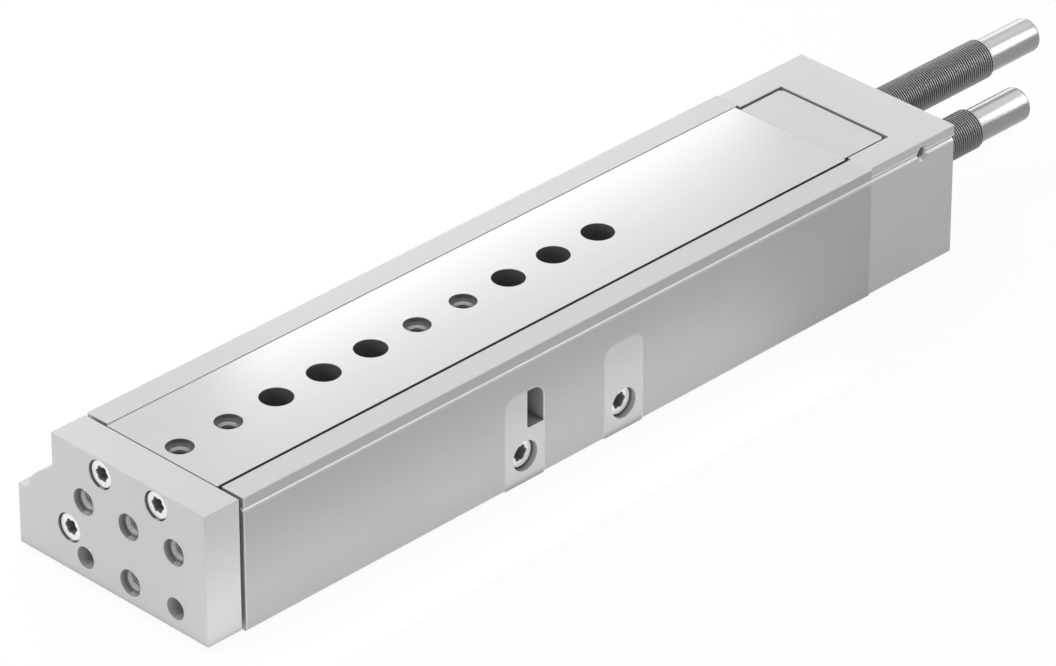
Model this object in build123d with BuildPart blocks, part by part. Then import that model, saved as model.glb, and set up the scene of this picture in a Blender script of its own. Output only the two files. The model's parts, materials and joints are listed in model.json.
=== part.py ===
from build123d import *
import os

os.makedirs("parts", exist_ok=True)

# A pneumatic slide table, retracted. X is the stroke, with the yoke plate at +X. Z is up. The origin is the
# centre of the front centring hole in the body's underside, below the table's second centring hole.
# Lengths are in millimetres.

# Motion
stroke = 150.0
plunger_stroke = 5.0
rest_gap = 0.5          # left between a damper's tip and what it meets

# Hole pattern shared by the table, the yoke plate and the underside
pitch = 20.0
centring_radius = 4.5
centring_depth = 2.1
thread_radius = 2.5     # tapping size of the M6 mounting threads
base_thread_radius = 2.55   # the same thread in the body's softer metal
thread_mouth = 3.3
thread_depth = 12.0

# Body
body_length = 277.2
body_width = 69.0
body_height = 47.5
body_front = 26.2
wing_reach = 16.1       # how far the wing over the cylinder stands out on the left
wing_height = 22.6
wing_shelf = 4.0
wing_rise = 4.6
wing_lean = 1.7
wing_corner = 1.5
bend_reach = 5.9        # the middle of the wing's round shoulder, from the body's side
bend_height = 31.6
shoulder_height = 34.9
edge_break = 0.5
groove_height = 42.9
groove_radius = 0.5

# Channel in the body, and the table in it
table_width = 48.8
table_gap = 0.8
table_top = 47.8
table_thickness = 14.8
table_floor_gap = 2.0
lip_thickness = 3.5
yoke_gap = 1.8          # between the yoke plate and the body's front face
table_shortfall = 0.1   # the table is this much shorter than the body
first_hole = 8.0        # from the table's front end
access_radius = 5.5
threaded_steps = (0, 1, 5, 6)
access_steps = (2, 3, 4, 7, 8, 9)

# Ball guide
guide_gap = 1.5         # between the table's side and the rail
rail_width = 5.0
rail_height = 10.0
ball_radius = 2.5
ball_play = 0.1
ball_count = 10
ball_pitch = 12.2
cage_thickness = 0.9
cage_height = 7.0
cage_margin = 5.1
cage_end_gap = 3.0      # between a cage and the body's front face when the table is out

# Cylinder
rod_y = -26.6
rod_z = 16.8
bore_radius = 10.0
bore_depth = 209.0
rod_radius = 4.0
piston_length = 20.0
piston_play = 0.1
piston_stand_off = 5.0  # from the bore's blind end at rest
seal_width = 2.5
seal_inner = 7.4
seal_inset = 2.0
piston_land = 1.5       # metal left between two of the piston's grooves
magnet_width = 4.0
magnet_inner = 6.0
band_width = 4.0
band_inner = 9.0
nut_radius = 3.8
nut_height = 3.2
stub_radius = 2.5
gland_length = 22.0
gland_play = 0.05
gland_inset = 2.0
rod_play = 0.05
rod_seal_outer = 6.4
rod_seal_width = 3.5
o_ring_width = 2.0
o_ring_inner = 8.4
circlip_width = 1.2
circlip_inner = 7.4
circlip_outer = 10.9
circlip_inset = 0.6
port_radius = 4.4
port_depth = 9.0
channel_radius = 2.0
rear_port_gap = 0.5     # from the bore's blind end to the rear port's channel
front_port_gap = 3.0    # from the gland to the front port's channel
slot_z = 6.0
slot_mouth = 2.8
slot_radius = 2.2
slot_centre = 2.6

# Yoke plate
yoke_thickness = 14.1
yoke_bottom = 1.5
yoke_side_inset = 0.15
yoke_left_inset = 1.0
plate_edge = 0.3
yoke_row = 0.5          # the plate's pattern is this far from the middle plane
upper_row = 29.2
lower_row = 9.2
clear_radius = 3.75
yoke_screw_row = 0.75
yoke_screw_side = 12.35
yoke_screw_z = 42.4

# Screws
screw_play = 0.05
head_radius = 4.7
head_length = 5.0
head_edge = 0.4
head_seat_radius = 5.0
head_recess = 0.8
shank_radius = 2.5
socket_share = 0.57     # a socket's radius in its screw's head
socket_depth = 2.6
yoke_screw_length = 30.0
rod_screw_length = 24.0

# Tail block on the table's rear end
tail_length = 20.3
tail_top = 47.1
tail_half = 22.8
tail_shoulder_half = 24.3
tail_shoulder_top = 38.0
tail_upper_floor = 31.5
tail_pad_left = -15.9
tail_pad_floor = 25.5
tail_lug_left = 7.5
tail_lug_right = 24.6
tail_lug_floor = 19.2
tail_lug_setback = 1.5  # the lug's front face lies behind the end of the stop sleeve
tail_gap = 0.3          # round the tail's lower part in the body and the cap
tail_corner = 1.2
tail_screw_side = 12.0
tail_screw_z = 41.0
tail_screw_length = 26.0

# Stop sleeves and dampers
sleeve_radius = 7.0
sleeve_z = 28.0
retract_y = -13.1
advance_y = 16.2
retract_sleeve_length = 82.4
advance_sleeve_length = 70.0
sleeve_play = 0.05
pass_play = 0.6
damper_radius = 6.0
damper_bore_radius = 4.5
damper_bore_length = 48.0
damper_tail = 24.2      # how far a damper's body stands out of its sleeve
damper_edge = 1.2
damper_socket = 2.5
damper_socket_depth = 3.0
bush_length = 6.0
bush_gap = 0.5          # behind the tip when the plunger is fully in
plunger_radius = 2.0
plunger_head_length = 4.0
plunger_head_gap = 0.3  # from the bush to the plunger's head
tip_radius = 2.5
tip_length = 3.0
tip_bevel = 0.6

# Rear cap
cap_length = 40.1
cap_inset = 0.75
cap_bottom = 0.3
pocket_length = 19.4
pocket_half = 23.8
cap_groove_radius = 0.9
cap_hole_inset = 15.0   # from the cap's rear face
cap_hole_radius = 1.7
cap_hole_depth = 7.0
cap_hole_mouth = 2.8
cap_screw_side = 29.0
cap_screw_low = 8.0
cap_screw_high = 27.0
cap_screw_seat = 12.0
cap_screw_length = 40.0
cap_screw_shank = 2.0
cap_screw_head = 3.5
cap_screw_bore = 3.75
cap_screw_head_length = 4.0
grub_radius = 2.0
grub_length = 8.0

# Inserts in the body's right side
pocket_width = 17.0
pocket_height = 32.6
pocket_corner = 4.5
insert_play = 0.05
stop_nose_length = 9.7
stop_nose_gap = 0.4
window_floor = 19.1
window_corner = 1.0
blank_offset = 43.95    # from the first pocket to the second
insert_screw_z = 9.5
insert_screw_inset = 8.8
insert_head_radius = 5.0
insert_seat_radius = 5.3
insert_head_recess = 2.3
insert_head_length = 5.0
insert_shank_radius = 3.0
insert_screw_length = 16.0

# Mounting holes in the body
base_spacing = 200.0
through_radius = 3.3
through_seat_radius = 5.5
through_seat_depth = 7.2
through_steps = (2, 4, 7, 9)

# Places worked out from the sizes above
half_width = body_width / 2
body_rear = body_front - body_length
table_front = body_front + yoke_gap
table_length = body_length - table_shortfall
table_rear = table_front - table_length
yoke_front = table_front + yoke_thickness
table_half = table_width / 2
table_bottom = table_top - table_thickness
lip_half = table_half + table_gap
lip_bottom = body_height - lip_thickness
floor_z = table_bottom - table_floor_gap
rail_face = table_half + guide_gap
rail_bottom = lip_bottom - rail_height
ball_z = lip_bottom - rail_height / 2
ball_y = table_half + guide_gap / 2
ball_groove = ball_radius + ball_play
hole_row = table_front - first_hole
tail_rear = table_rear - tail_length
pocket_rear = body_rear - pocket_length
cap_rear = body_rear - cap_length
cap_half = half_width - cap_inset
stop_x = table_rear + plunger_stroke + rest_gap + stroke
slot_right = tail_lug_right + tail_gap
slot_floor = tail_pad_floor - tail_gap
bore_end = body_front - bore_depth
piston_rear = bore_end + piston_stand_off
piston_front = piston_rear + piston_length
gland_front = body_front - gland_inset
gland_rear = gland_front - gland_length
rear_port_x = bore_end + channel_radius + rear_port_gap
front_port_x = gland_rear - channel_radius - front_port_gap
wing_side = -half_width - wing_reach
stop_centre = stop_x + stop_nose_length - pocket_width / 2
blank_centre = stop_centre - blank_offset
insert_screw_x = stop_x + stop_nose_length - insert_screw_inset

UP = (0, 0, 1)
DOWN = (0, 0, -1)
FORWARD = (1, 0, 0)
BACKWARD = (-1, 0, 0)
TO_RIGHT = (0, 1, 0)
TO_LEFT = (0, -1, 0)


def facing(x, y, z, direction):
    """A place on a face that looks in the given direction. Holes go in from there."""
    return Plane(origin=(x, y, z), z_dir=direction).location


def centred_threads(places, direction, depth, radius=thread_radius):
    """Threads under a mouth for a centring sleeve, each bevelled where it starts."""
    with Locations(*[facing(*place, direction) for place in places]):
        Hole(centring_radius, depth=centring_depth)
    floors = [Vector(*place) - Vector(*direction) * centring_depth for place in places]
    with Locations(*[facing(*floor, direction) for floor in floors]):
        CounterSinkHole(radius, thread_mouth, depth=depth - centring_depth, counter_sink_angle=90)


def body_outline(right, left, bottom, top):
    """The section that body, cap and yoke plate share: a tall block with a low wing on the left."""
    outer = left - wing_reach
    shelf_start = (outer, wing_height)
    shelf_end = (outer + wing_shelf, wing_height)
    rise_end = (shelf_end[0] + wing_lean, wing_height + wing_rise)
    shoulder = (left, shoulder_height)
    with BuildLine() as outline:
        Polyline(shoulder, (left, top), (right, top), (right, bottom), (outer, bottom), shelf_start)
        FilletPolyline(shelf_start, shelf_end, rise_end, radius=wing_corner)
        ThreePointArc(rise_end, (left - bend_reach, bend_height), shoulder)
    make_face(outline.edges())


def rectangle(left, right, low, high, mode=Mode.ADD):
    """A rectangle between two sides and two heights."""
    with Locations(((left + right) / 2, (low + high) / 2)):
        Rectangle(right - left, high - low, mode=mode)


def tail_section(gap, top, upper_half):
    """The tail's stepped section, grown by a gap. The lug on the right carries the travelling sleeve."""
    shoulder = tail_shoulder_half + gap
    rectangle(-upper_half, upper_half, tail_upper_floor - gap, top)
    rectangle(-shoulder, tail_lug_right + gap, tail_upper_floor - gap, tail_shoulder_top + gap)
    rectangle(tail_pad_left - gap, tail_lug_right + gap, tail_pad_floor - gap, tail_shoulder_top + gap)
    rectangle(tail_lug_left - gap, tail_lug_right + gap, tail_lug_floor - gap, tail_shoulder_top + gap)


def lower_slot():
    """The part of the tail's path that lies below the channel's floor."""
    rectangle(tail_pad_left - tail_gap, slot_right, slot_floor, floor_z)
    rectangle(tail_lug_left - tail_gap, slot_right, tail_lug_floor - tail_gap, floor_z)


def insert_outline(centre, play=0.0):
    """An insert or its pocket, seen from the right: straight sides and two large corners on top."""
    width = pocket_width - 2 * play
    height = pocket_height - play
    with BuildLine() as outline:
        left = centre - width / 2
        right = centre + width / 2
        radius = pocket_corner - play
        Polyline((left, height - radius), (left, 0), (right, 0), (right, height - radius))
        RadiusArc((right, height - radius), (right - radius, height), -radius)
        Line((right - radius, height), (left + radius, height))
        RadiusArc((left + radius, height), (left, height - radius), -radius)
    make_face(outline.edges())


def ring(x, length, outer, inner, y, z):
    """A ring or bush round an axis along the stroke."""
    with BuildSketch(Plane.YZ.offset(x)) as section:
        with Locations((y, z)):
            Circle(outer)
            Circle(inner, mode=Mode.SUBTRACT)
    extrude(section.sketch, amount=length)


def rod(x, length, radius, y, z, mode=Mode.ADD):
    """A round bar along the stroke, from x forward."""
    with BuildSketch(Plane.YZ.offset(x)) as section:
        with Locations((y, z)):
            Circle(radius)
    extrude(section.sketch, amount=length, mode=mode)


def socket_screw(head, shank, head_height, length):
    """A socket screw with the top of its head at the location, pointing away from it."""
    with BuildPart(mode=Mode.PRIVATE) as screw:
        Cylinder(head, head_height, align=(Align.CENTER, Align.CENTER, Align.MAX))
        chamfer(screw.edges().filter_by(GeomType.CIRCLE).sort_by(Axis.Z)[-1], length=head_edge)
        with Locations((0, 0, -head_height)):
            Cylinder(shank, length, align=(Align.CENTER, Align.CENTER, Align.MAX))
        with BuildSketch(Plane.XY) as socket:
            RegularPolygon(head * socket_share, 6)
        extrude(socket.sketch, amount=-socket_depth, mode=Mode.SUBTRACT)
    return screw.part


# Side plane seen from the right, where x runs forward and the sketch looks along -Y
right_side = Plane(origin=(0, half_width, 0), x_dir=(1, 0, 0), z_dir=(0, -1, 0))
hole_x = [hole_row - pitch * step for step in threaded_steps]
access_x = [hole_row - pitch * step for step in access_steps]
through_x = [hole_row - pitch * step for step in through_steps]
base_x = [hole_row - pitch, hole_row - pitch - base_spacing]
yoke_screw_places = [(yoke_screw_row + side * yoke_screw_side, yoke_screw_z) for side in (-1, 1)]
tail_screw_places = [(side * tail_screw_side, tail_screw_z) for side in (-1, 1)]
cap_screw_places = [(side * cap_screw_side, z) for side in (-1, 1) for z in (cap_screw_low, cap_screw_high)]
thread_places = [(yoke_row + step * pitch, upper_row) for step in (-1, 0, 1)] + [(yoke_row, lower_row)]
clear_places = [(yoke_row + step * pitch, lower_row) for step in (-1, 1)]

# Housing: the profile is extruded, then its pockets, bore, ports and mounting holes are cut
with BuildPart() as housing:
    with BuildSketch(Plane.YZ.offset(body_rear)):
        body_outline(half_width, -half_width, 0, body_height)
        rectangle(-lip_half, lip_half, floor_z, body_height, mode=Mode.SUBTRACT)
        rectangle(-rail_face, rail_face, floor_z, lip_bottom, mode=Mode.SUBTRACT)
        rail_back = rail_face + rail_width
        rectangle(-rail_back, rail_back, rail_bottom, lip_bottom, mode=Mode.SUBTRACT)
        with BuildSketch(mode=Mode.SUBTRACT):
            lower_slot()
    extrude(amount=body_length)
    long_edges = housing.edges().filter_by(Axis.X)
    corner_edges = long_edges.filter_by(lambda edge: edge.center().Z < 0.01)
    chamfer(corner_edges, length=edge_break)
    with BuildSketch(Plane.YZ.offset(body_rear)):
        for side in (-1, 1):
            with Locations((side * half_width, groove_height)):
                Circle(groove_radius)
        with Locations((wing_side + slot_centre, slot_z)):
            Circle(slot_radius)
        rectangle(wing_side - 1, wing_side + slot_centre, slot_z - slot_mouth / 2, slot_z + slot_mouth / 2)
    extrude(amount=body_length, mode=Mode.SUBTRACT)
    for centre in (stop_centre, blank_centre):
        with BuildSketch(right_side):
            insert_outline(centre)
        extrude(amount=half_width - slot_right, mode=Mode.SUBTRACT)
    with Locations(facing(body_front, rod_y, rod_z, FORWARD)):
        Hole(bore_radius, depth=bore_depth)
    ring_start = body_front - circlip_inset - circlip_width
    rod(ring_start, circlip_width, circlip_outer, rod_y, rod_z, mode=Mode.SUBTRACT)
    port_reach = rod_y - wing_side
    with Locations(*[facing(x, wing_side, rod_z, TO_LEFT) for x in (rear_port_x, front_port_x)]):
        CounterBoreHole(channel_radius, port_radius, port_depth, depth=port_reach)
    centred_threads([(x, 0, 0) for x in base_x], DOWN, thread_depth, radius=base_thread_radius)
    with Locations(*[facing(x, 0, slot_floor, UP) for x in through_x]):
        CounterBoreHole(through_radius, through_seat_radius, through_seat_depth, depth=slot_floor)
    shank_hole = insert_shank_radius + screw_play
    screw_depth = insert_head_recess + insert_head_length + insert_screw_length
    with Locations(*[facing(x, half_width, insert_screw_z, TO_RIGHT)
                     for x in (insert_screw_x, insert_screw_x - blank_offset)]):
        Hole(shank_hole, depth=screw_depth)
    cap_depth = cap_screw_length - cap_length + cap_screw_seat
    with Locations(*[facing(body_rear, y, z, BACKWARD) for y, z in cap_screw_places]):
        Hole(cap_screw_shank + screw_play, depth=cap_depth)
housing.part.label = "housing"
export_step(housing.part, "parts/housing.step")

# Guide rails: one bar with a ball groove on each side of the channel
for side, name in ((-1, "guide_rail_left"), (1, "guide_rail_right")):
    with BuildPart() as guide_rail:
        with BuildSketch(Plane.YZ.offset(body_rear)):
            with Locations((side * (rail_face + rail_width / 2), ball_z)):
                Rectangle(rail_width, rail_height)
            with Locations((side * ball_y, ball_z)):
                Circle(ball_groove, mode=Mode.SUBTRACT)
        extrude(amount=body_length)
    guide_rail.part.label = name
    export_step(guide_rail.part, f"parts/{name}.step")

# Rear cap: a block with a stepped pocket for the tail, open to the front and the top
with BuildPart() as rear_cap:
    with BuildSketch(Plane.YZ.offset(cap_rear)):
        body_outline(cap_half, -cap_half, cap_bottom, body_height)
    extrude(amount=cap_length)
    with BuildSketch(Plane.YZ.offset(pocket_rear)):
        tail_section(tail_gap, body_height, pocket_half)
    extrude(amount=pocket_length, mode=Mode.SUBTRACT)
    with BuildSketch(Plane.YZ.offset(cap_rear)):
        for side in (-1, 1):
            with Locations((side * cap_half, groove_height)):
                Circle(cap_groove_radius)
    extrude(amount=cap_length, mode=Mode.SUBTRACT)
    rod(cap_rear, cap_length - pocket_length, sleeve_radius + sleeve_play, retract_y, sleeve_z,
        mode=Mode.SUBTRACT)
    rod(cap_rear, cap_length - pocket_length, sleeve_radius + pass_play, advance_y, sleeve_z,
        mode=Mode.SUBTRACT)
    with Locations(facing(cap_rear + cap_hole_inset, cap_half, groove_height, TO_RIGHT)):
        CounterSinkHole(cap_hole_radius, cap_hole_mouth, depth=cap_hole_depth)
    with Locations(*[facing(cap_rear, y, z, BACKWARD) for y, z in cap_screw_places]):
        CounterBoreHole(cap_screw_shank + screw_play, cap_screw_bore, cap_screw_seat, depth=cap_length)
    grub_x = (cap_rear + pocket_rear) / 2
    sleeve_bottom = sleeve_z - sleeve_radius
    with Locations(facing(grub_x, retract_y, cap_bottom, DOWN)):
        Hole(grub_radius + screw_play, depth=sleeve_bottom - cap_bottom)
rear_cap.part.label = "rear_cap"
export_step(rear_cap.part, "parts/rear_cap.step")

with BuildPart() as cap_screws:
    cap_screw = socket_screw(cap_screw_head, cap_screw_shank, cap_screw_head_length, cap_screw_length)
    with Locations(*[facing(cap_rear + cap_screw_seat - cap_screw_head_length, y, z, BACKWARD)
                     for y, z in cap_screw_places]):
        add(cap_screw)
cap_screws.part.label = "cap_screws"
export_step(cap_screws.part, "parts/cap_screws.step")

with BuildPart() as sleeve_clamp_screw:
    with Locations(facing(grub_x, retract_y, sleeve_bottom - grub_length, DOWN)):
        Cylinder(grub_radius, grub_length, align=(Align.CENTER, Align.CENTER, Align.MAX))
sleeve_clamp_screw.part.label = "sleeve_clamp_screw"
export_step(sleeve_clamp_screw.part, "parts/sleeve_clamp_screw.step")

# Inserts: the stop block has a window at its upper rear corner and a nose across the tail's path
insert_thickness = half_width - slot_right
with BuildPart() as stop_block:
    with BuildSketch(right_side):
        insert_outline(stop_centre, insert_play)
        window_width = pocket_width - stop_nose_length
        with BuildSketch(mode=Mode.SUBTRACT) as window:
            rectangle(stop_x - 2 * window_width, stop_x, window_floor, 2 * pocket_height)
            fillet(window.vertices().sort_by(Axis.Y)[0:2], radius=window_corner)
    extrude(amount=insert_thickness)
    nose_end = tail_lug_left - tail_gap + stop_nose_gap
    nose_front = stop_x + stop_nose_length - insert_play
    with BuildSketch(Plane.XZ.offset(-slot_right)):
        rectangle(stop_x, nose_front, tail_lug_floor, floor_z - tail_gap)
    extrude(amount=slot_right - nose_end)
    with Locations(facing(insert_screw_x, half_width, insert_screw_z, TO_RIGHT)):
        CounterBoreHole(insert_shank_radius + screw_play, insert_seat_radius,
                        insert_head_recess + insert_head_length, depth=insert_thickness)
stop_block.part.label = "stop_block"
export_step(stop_block.part, "parts/stop_block.step")

with BuildPart() as blank_block:
    with BuildSketch(right_side):
        insert_outline(blank_centre, insert_play)
    extrude(amount=insert_thickness)
    with Locations(facing(insert_screw_x - blank_offset, half_width, insert_screw_z, TO_RIGHT)):
        CounterBoreHole(insert_shank_radius + screw_play, insert_seat_radius,
                        insert_head_recess + insert_head_length, depth=insert_thickness)
blank_block.part.label = "blank_block"
export_step(blank_block.part, "parts/blank_block.step")

with BuildPart() as block_screws:
    block_screw = socket_screw(insert_head_radius, insert_shank_radius, insert_head_length,
                               insert_screw_length)
    with Locations(*[facing(x, half_width - insert_head_recess, insert_screw_z, TO_RIGHT)
                     for x in (insert_screw_x, insert_screw_x - blank_offset)]):
        add(block_screw)
block_screws.part.label = "block_screws"
export_step(block_screws.part, "parts/block_screws.step")

# Cylinder's front closure: a gland with an outer ring and a rod seal, held by a circlip
with BuildPart() as rod_gland:
    gland_radius = bore_radius - gland_play
    ring(gland_rear, gland_length, gland_radius, rod_radius + rod_play, rod_y, rod_z)
    o_ring_x = gland_rear + gland_length / 2
    with BuildSketch(Plane.YZ.offset(o_ring_x)):
        with Locations((rod_y, rod_z)):
            Circle(bore_radius + 1)
            Circle(o_ring_inner, mode=Mode.SUBTRACT)
    extrude(amount=o_ring_width, mode=Mode.SUBTRACT)
    seal_rear = gland_front - rod_seal_width
    rod(seal_rear, rod_seal_width, rod_seal_outer, rod_y, rod_z, mode=Mode.SUBTRACT)
rod_gland.part.label = "rod_gland"
export_step(rod_gland.part, "parts/rod_gland.step")

with BuildPart() as gland_o_ring:
    ring(o_ring_x, o_ring_width, bore_radius - gland_play / 2, o_ring_inner, rod_y, rod_z)
gland_o_ring.part.label = "gland_o_ring"
export_step(gland_o_ring.part, "parts/gland_o_ring.step")

with BuildPart() as rod_seal:
    ring(seal_rear, rod_seal_width, rod_seal_outer, rod_radius + rod_play / 2, rod_y, rod_z)
rod_seal.part.label = "rod_seal"
export_step(rod_seal.part, "parts/rod_seal.step")

with BuildPart() as gland_circlip:
    ring(ring_start, circlip_width, circlip_outer, circlip_inner, rod_y, rod_z)
gland_circlip.part.label = "gland_circlip"
export_step(gland_circlip.part, "parts/gland_circlip.step")

# Slide table: a ground steel plate with a ball groove along each side
with BuildPart() as slide_table:
    with BuildSketch(Plane.YZ.offset(table_rear)):
        rectangle(-table_half, table_half, table_bottom, table_top)
        for side in (-1, 1):
            with Locations((side * ball_y, ball_z)):
                Circle(ball_groove, mode=Mode.SUBTRACT)
    extrude(amount=table_length)
    centred_threads([(x, 0, table_top) for x in hole_x], UP, thread_depth)
    with Locations(*[facing(x, 0, table_top, UP) for x in access_x]):
        Hole(access_radius)
    yoke_screw_reach = yoke_screw_length + head_length + head_recess - yoke_thickness
    with Locations(*[facing(table_front, y, z, FORWARD) for y, z in yoke_screw_places]):
        Hole(shank_radius + screw_play, depth=yoke_screw_reach)
    tail_screw_reach = tail_screw_length + head_length + head_recess - tail_length
    with Locations(*[facing(table_rear, y, z, BACKWARD) for y, z in tail_screw_places]):
        Hole(shank_radius + screw_play, depth=tail_screw_reach)
slide_table.part.label = "slide_table"
export_step(slide_table.part, "parts/slide_table.step")

# Yoke plate: the same outline as the body, with the load's hole pattern
with BuildPart() as yoke_plate:
    yoke_right = half_width - yoke_side_inset
    yoke_left = -half_width + yoke_left_inset
    with BuildSketch(Plane.YZ.offset(table_front)):
        body_outline(yoke_right, yoke_left, yoke_bottom, table_top)
    extrude(amount=yoke_thickness)
    chamfer(yoke_plate.faces().sort_by(Axis.X)[-1].edges(), length=plate_edge)
    seat_depth = head_recess + head_length
    screw_places = yoke_screw_places + [(rod_y, rod_z)]
    with Locations(*[facing(yoke_front, y, z, FORWARD) for y, z in screw_places]):
        CounterBoreHole(shank_radius + screw_play, head_seat_radius, seat_depth, depth=yoke_thickness)
    centred_threads([(yoke_front, y, z) for y, z in thread_places], FORWARD, yoke_thickness)
    with Locations(*[facing(yoke_front, y, z, FORWARD) for y, z in clear_places]):
        Hole(clear_radius, depth=yoke_thickness)
yoke_plate.part.label = "yoke_plate"
export_step(yoke_plate.part, "parts/yoke_plate.step")

with BuildPart() as yoke_screws:
    yoke_screw = socket_screw(head_radius, shank_radius, head_length, yoke_screw_length)
    with Locations(*[facing(yoke_front - head_recess, y, z, FORWARD) for y, z in yoke_screw_places]):
        add(yoke_screw)
yoke_screws.part.label = "yoke_screws"
export_step(yoke_screws.part, "parts/yoke_screws.step")

with BuildPart() as rod_screw:
    long_screw = socket_screw(head_radius, shank_radius, head_length, rod_screw_length)
    with Locations(facing(yoke_front - head_recess, rod_y, rod_z, FORWARD)):
        add(long_screw)
rod_screw.part.label = "rod_screw"
export_step(rod_screw.part, "parts/rod_screw.step")

# Piston on its rod, with two seals, a magnet for the position switches and a guide band
with BuildPart() as piston_rod:
    rod(piston_front, table_front - piston_front, rod_radius, rod_y, rod_z)
    rod(piston_rear, piston_length, stub_radius, rod_y, rod_z)
    rod_screw_reach = rod_screw_length + head_length + head_recess - yoke_thickness
    with Locations(facing(table_front, rod_y, rod_z, FORWARD)):
        Hole(shank_radius + screw_play, depth=rod_screw_reach + 1)
piston_rod.part.label = "piston_rod"
export_step(piston_rod.part, "parts/piston_rod.step")

piston_radius = bore_radius - piston_play
seal_starts = (piston_rear + seal_inset, piston_front - seal_inset - seal_width)
band_start = seal_starts[0] + seal_width + piston_land
magnet_start = seal_starts[1] - piston_land - magnet_width
with BuildPart() as piston:
    ring(piston_rear, piston_length, piston_radius, stub_radius + screw_play, rod_y, rod_z)
    grooves = [(start, seal_width, seal_inner) for start in seal_starts]
    grooves += [(magnet_start, magnet_width, magnet_inner), (band_start, band_width, band_inner)]
    for start, width, inner in grooves:
        with BuildSketch(Plane.YZ.offset(start)):
            with Locations((rod_y, rod_z)):
                Circle(bore_radius + 1)
                Circle(inner, mode=Mode.SUBTRACT)
        extrude(amount=width, mode=Mode.SUBTRACT)
    rod(piston_rear, nut_height, nut_radius + piston_play, rod_y, rod_z, mode=Mode.SUBTRACT)
piston.part.label = "piston"
export_step(piston.part, "parts/piston.step")

with BuildPart() as piston_seals:
    for start in seal_starts:
        ring(start, seal_width, bore_radius - piston_play / 2, seal_inner, rod_y, rod_z)
piston_seals.part.label = "piston_seals"
export_step(piston_seals.part, "parts/piston_seals.step")

with BuildPart() as piston_magnet:
    ring(magnet_start, magnet_width, piston_radius, magnet_inner, rod_y, rod_z)
piston_magnet.part.label = "piston_magnet"
export_step(piston_magnet.part, "parts/piston_magnet.step")

with BuildPart() as piston_guide_ring:
    ring(band_start, band_width, bore_radius - piston_play / 2, band_inner, rod_y, rod_z)
piston_guide_ring.part.label = "piston_guide_ring"
export_step(piston_guide_ring.part, "parts/piston_guide_ring.step")

with BuildPart() as piston_nut:
    ring(piston_rear, nut_height, nut_radius, stub_radius, rod_y, rod_z)
piston_nut.part.label = "piston_nut"
export_step(piston_nut.part, "parts/piston_nut.step")

# Tail block: closes the table's rear end, meets the fixed damper and carries the travelling one
with BuildPart() as tail_block:
    with BuildSketch(Plane.YZ.offset(tail_rear)):
        tail_section(0, tail_top, tail_half)
    extrude(amount=tail_length)
    top_corners = tail_block.edges().filter_by(Axis.Z).group_by(Axis.X)[0]
    outer_corners = top_corners.filter_by(lambda edge: abs(abs(edge.center().Y) - tail_half) < 0.01)
    chamfer(outer_corners, length=tail_corner)
    with BuildSketch(Plane.YZ.offset(table_rear - tail_lug_setback)):
        rectangle(-tail_half, 2 * tail_half, 0, tail_upper_floor)
    extrude(amount=tail_lug_setback, mode=Mode.SUBTRACT)
    rod(tail_rear, tail_length, sleeve_radius + sleeve_play, advance_y, sleeve_z, mode=Mode.SUBTRACT)
    with Locations(*[facing(tail_rear, y, z, BACKWARD) for y, z in tail_screw_places]):
        CounterBoreHole(shank_radius + screw_play, head_seat_radius, head_recess + head_length,
                        depth=tail_length)
tail_block.part.label = "tail_block"
export_step(tail_block.part, "parts/tail_block.step")

with BuildPart() as tail_screws:
    tail_screw = socket_screw(head_radius, shank_radius, head_length, tail_screw_length)
    with Locations(*[facing(tail_rear + head_recess, y, z, BACKWARD) for y, z in tail_screw_places]):
        add(tail_screw)
tail_screws.part.label = "tail_screws"
export_step(tail_screws.part, "parts/tail_screws.step")

# Ball guide: balls in a cage run in the grooves between table and rail
cage_length = (ball_count - 1) * ball_pitch + 2 * cage_margin
cage_front = body_front - cage_end_gap - stroke / 2
ball_x = [cage_front - cage_margin - ball_pitch * step for step in range(ball_count)]
for side, word in ((-1, "left"), (1, "right")):
    with BuildPart() as ball_cage:
        with BuildSketch(Plane.YZ.offset(cage_front - cage_length)):
            with Locations((side * ball_y, ball_z)):
                Rectangle(cage_thickness, cage_height)
        extrude(amount=cage_length)
        with Locations(*[facing(x, side * ball_y + cage_thickness / 2, ball_z, TO_RIGHT) for x in ball_x]):
            Hole(ball_groove, depth=cage_thickness)
    ball_cage.part.label = f"ball_cage_{word}"
    export_step(ball_cage.part, f"parts/ball_cage_{word}.step")
    with BuildPart() as balls:
        with Locations(*[(x, side * ball_y, ball_z) for x in ball_x]):
            Sphere(ball_radius)
    balls.part.label = f"balls_{word}"
    export_step(balls.part, f"parts/balls_{word}.step")


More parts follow.
